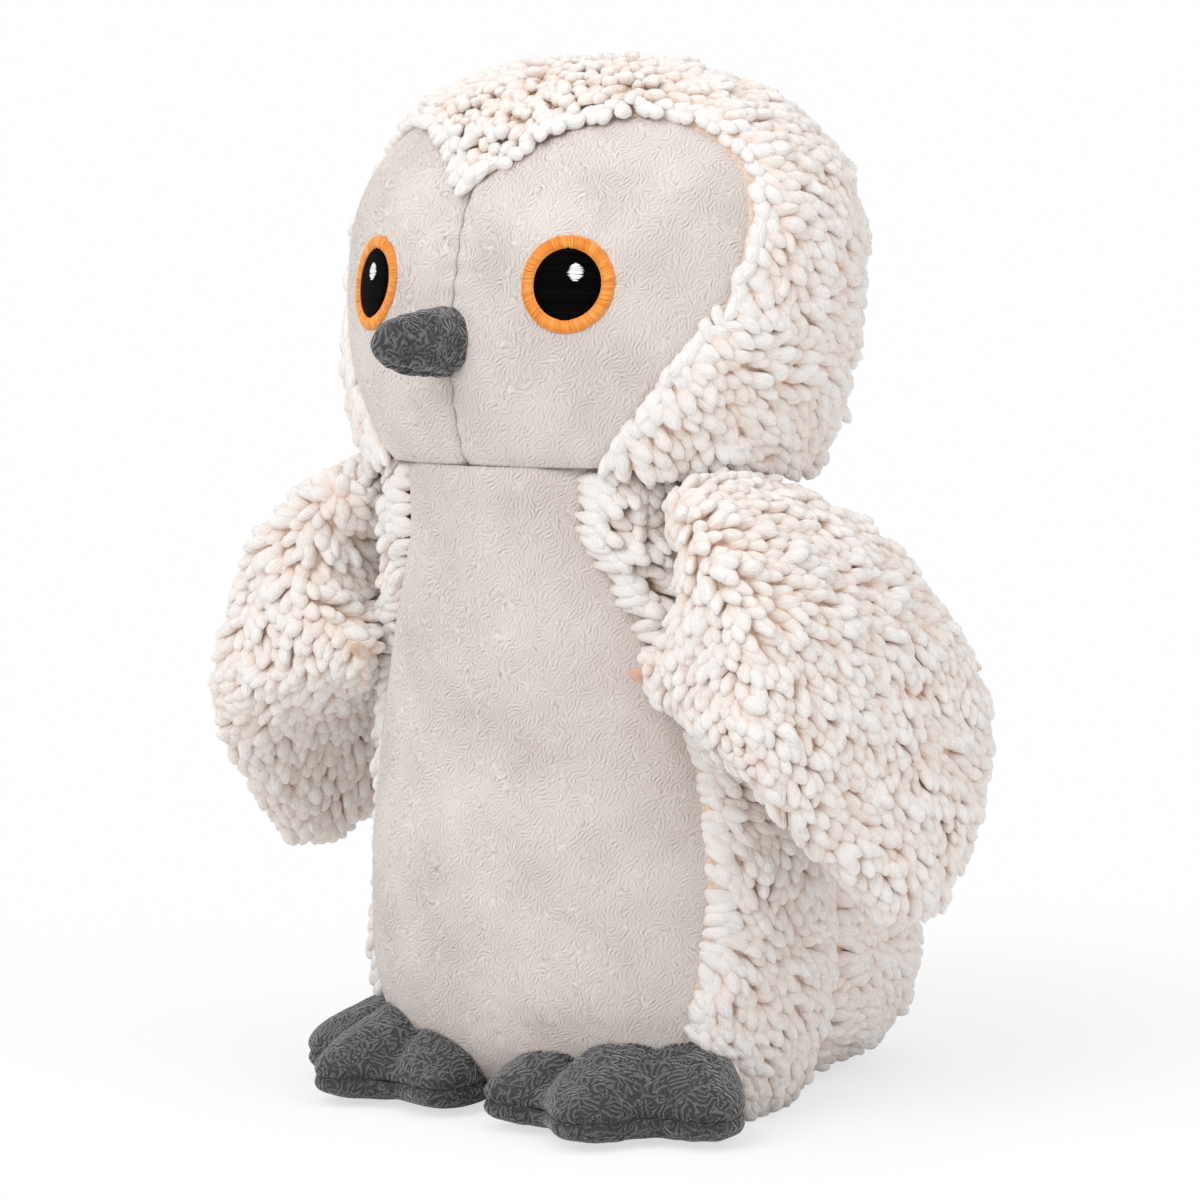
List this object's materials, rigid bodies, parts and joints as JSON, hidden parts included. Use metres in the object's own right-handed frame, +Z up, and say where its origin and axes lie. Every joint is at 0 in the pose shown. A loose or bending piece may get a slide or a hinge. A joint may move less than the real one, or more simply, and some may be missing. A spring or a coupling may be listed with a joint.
{
  "type": "plush owl",
  "caption": "Standing stuffed toy owl with a curly fleece hood, body, tail and wings, velour face and belly, embroidered eyes, and a soft grey beak and feet.",
  "frame": {"origin": "middle of the base panel's flat underside, level with the soles of the feet, on the surface that the owl stands on", "axes": "+Z up, -Y the way the face and beak point, +X the owl's own left side"},
  "size_m": [0.2342, 0.2018, 0.296],
  "materials": {
    "curly_fleece": "cream sherpa fleece of thick curly yarn nubs",
    "velour": "short-pile velour, warm light grey",
    "grey_minky": "swirled minky plush, dark grey",
    "orange_thread": "satin stitched rayon thread, orange",
    "black_thread": "satin stitched rayon thread, black",
    "white_thread": "satin stitched rayon thread, white",
    "polyester_filling": "loose polyester fibre, matt",
    "woven_lining": "plain woven cotton lining, matt"
  },
  "bodies": {
    "body": {"hood_left": "curly_fleece", "hood_right": "curly_fleece", "face_left": "velour", "face_right": "velour", "head_stuffing": "polyester_filling", "eye_ring_left": "orange_thread", "eye_ring_right": "orange_thread", "eye_pupil_left": "black_thread", "eye_pupil_right": "black_thread", "eye_highlight_left": "white_thread", "eye_highlight_right": "white_thread", "beak_cover": "grey_minky", "beak_stuffing": "polyester_filling", "body_side_left": "curly_fleece", "body_side_right": "curly_fleece", "belly_panel": "velour", "base_panel": "woven_lining", "pellet_bag": "woven_lining", "body_stuffing": "polyester_filling", "tail_cover": "curly_fleece", "tail_stuffing": "polyester_filling"},
    "left_wing": {"wing_outer_left": "curly_fleece", "wing_inner_left": "curly_fleece", "wing_stuffing_left": "polyester_filling"},
    "right_wing": {"wing_outer_right": "curly_fleece", "wing_inner_right": "curly_fleece", "wing_stuffing_right": "polyester_filling"},
    "left_foot": {"foot_top_left": "grey_minky", "foot_sole_left": "grey_minky", "foot_stuffing_left": "polyester_filling"},
    "right_foot": {"foot_top_right": "grey_minky", "foot_sole_right": "grey_minky", "foot_stuffing_right": "polyester_filling"}
  },
  "joints": [
    {"name": "left_wing_lift", "type": "hinge", "parent": "body", "child": "left_wing", "pos_m": [0.06647, 0, 0.169], "axis": [0, -1, 0], "range_deg": [0, 40]},
    {"name": "right_wing_lift", "type": "hinge", "parent": "body", "child": "right_wing", "pos_m": [-0.06647, 0, 0.169], "axis": [0, 1, 0], "range_deg": [0, 40]},
    {"name": "left_toes_lift", "type": "hinge", "parent": "body", "child": "left_foot", "pos_m": [0.04283, -0.04322, 0.02605], "axis": [-0.9659, -0.2588, 0], "range_deg": [0, 12]},
    {"name": "right_toes_lift", "type": "hinge", "parent": "body", "child": "right_foot", "pos_m": [-0.04283, -0.04322, 0.02605], "axis": [-0.9659, 0.2588, 0], "range_deg": [0, 12]}
  ]
}
